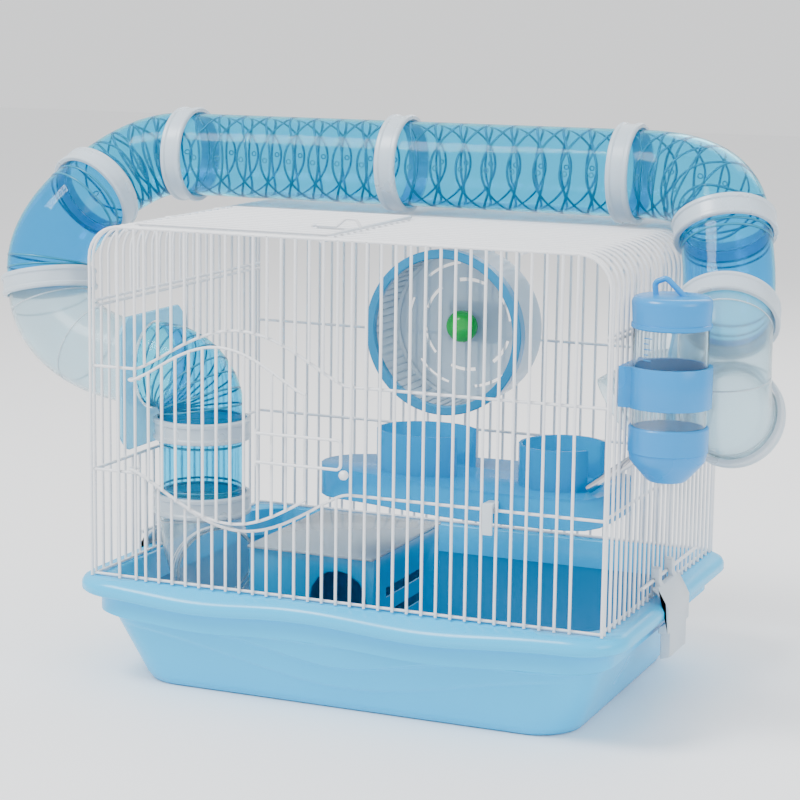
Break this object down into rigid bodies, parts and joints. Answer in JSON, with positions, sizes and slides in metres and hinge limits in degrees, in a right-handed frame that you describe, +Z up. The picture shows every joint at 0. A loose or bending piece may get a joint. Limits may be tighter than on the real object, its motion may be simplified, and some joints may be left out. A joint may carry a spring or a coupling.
{
  "type": "hamster cage",
  "caption": "Wire pet cage on a deep plastic tray, with an outside climbing tunnel, running wheel, platform, hideout and water bottle.",
  "frame": {"origin": "centre of the tray's underside, on the surface that it stands on", "axes": "+X to the right of the door side, -Y towards the front door, +Z up"},
  "size_m": [0.5422, 0.264, 0.3607],
  "materials": {
    "tray": "glossy light sky blue",
    "wire": "white coated wire",
    "clear_blue": "translucent sky blue",
    "clear": "clear, faintly frosted",
    "milky": "milky white",
    "deep": "deep blue",
    "green": "green",
    "steel": "bare steel"
  },
  "bodies": {
    "cage": {"cage_front_panel": "wire", "cage_back_panel": "wire", "back_lower_rail": "wire", "back_upper_rail": "wire", "cage_side_top_wrap": "wire", "left_clip_bar": "wire", "right_clip_bar": "wire", "left_port_plate": "clear_blue", "right_port_plate": "clear_blue", "top_tube_left": "clear_blue", "top_tube_right": "clear_blue", "left_elbow_1": "clear_blue", "left_elbow_2": "clear_blue", "right_elbow_1": "clear_blue", "right_elbow_2": "clear_blue", "left_inner_elbow": "clear_blue", "left_inner_tube": "clear_blue", "platform": "clear_blue", "left_elbow_3": "clear", "right_elbow_3": "clear", "right_elbow_4": "clear", "left_inner_mouth": "clear", "right_inner_mouth": "clear", "hideout_roof": "clear", "bottle_body": "clear", "top_collar_1": "milky", "top_collar_2": "milky", "top_collar_3": "milky", "left_collar_1": "milky", "left_collar_2": "milky", "right_collar_1": "milky", "right_collar_2": "milky", "right_collar_3": "milky", "left_inner_collar_1": "milky", "left_inner_collar_2": "milky", "wheel_axle_bracket": "milky", "platform_clip": "milky", "hideout_body": "deep", "bottle_top_cap": "deep", "bottle_screw_cap": "deep", "bottle_holder": "deep", "tray": "tray", "wheel_hub_cap": "green", "bottle_spout": "steel", "bottle_ball": "steel"},
    "front_door": {"front_door": "wire"},
    "door_latch": {"door_latch": "wire"},
    "top_hatch": {"top_hatch": "wire"},
    "hatch_latch": {"hatch_latch": "wire"},
    "left_clip": {"left_clip": "milky"},
    "right_clip": {"right_clip": "milky"},
    "wheel": {"running_wheel": "milky", "wheel_front_rim": "deep"}
  },
  "joints": [
    {"name": "front_door_hinge", "type": "hinge", "parent": "cage", "child": "front_door", "pos_m": [-0.139, -0.1195, 0.1395], "axis": [0, 0, -1], "range_deg": [0, 110]},
    {"name": "door_latch_slide", "type": "slide", "parent": "front_door", "child": "door_latch", "axis": [-1, 0, 0], "range_m": [0, 0.028]},
    {"name": "top_hatch_hinge", "type": "hinge", "parent": "cage", "child": "top_hatch", "pos_m": [-0.146, 0, 0.2927], "axis": [0, -1, 0], "range_deg": [0, 100]},
    {"name": "hatch_latch_slide", "type": "slide", "parent": "top_hatch", "child": "hatch_latch", "axis": [-1, 0, 0], "range_m": [0, 0.014]},
    {"name": "left_clip_hinge", "type": "hinge", "parent": "cage", "child": "left_clip", "pos_m": [-0.1737, -0.0096, 0.0835], "axis": [0, 1, 0], "range_deg": [0, 60]},
    {"name": "right_clip_hinge", "type": "hinge", "parent": "cage", "child": "right_clip", "pos_m": [0.1737, -0.0096, 0.0835], "axis": [0, -1, 0], "range_deg": [0, 60]},
    {"name": "wheel_spin", "type": "hinge", "parent": "cage", "child": "wheel", "pos_m": [-0.0015, 0.1195, 0.216], "axis": [0, 1, 0], "continuous": true}
  ]
}
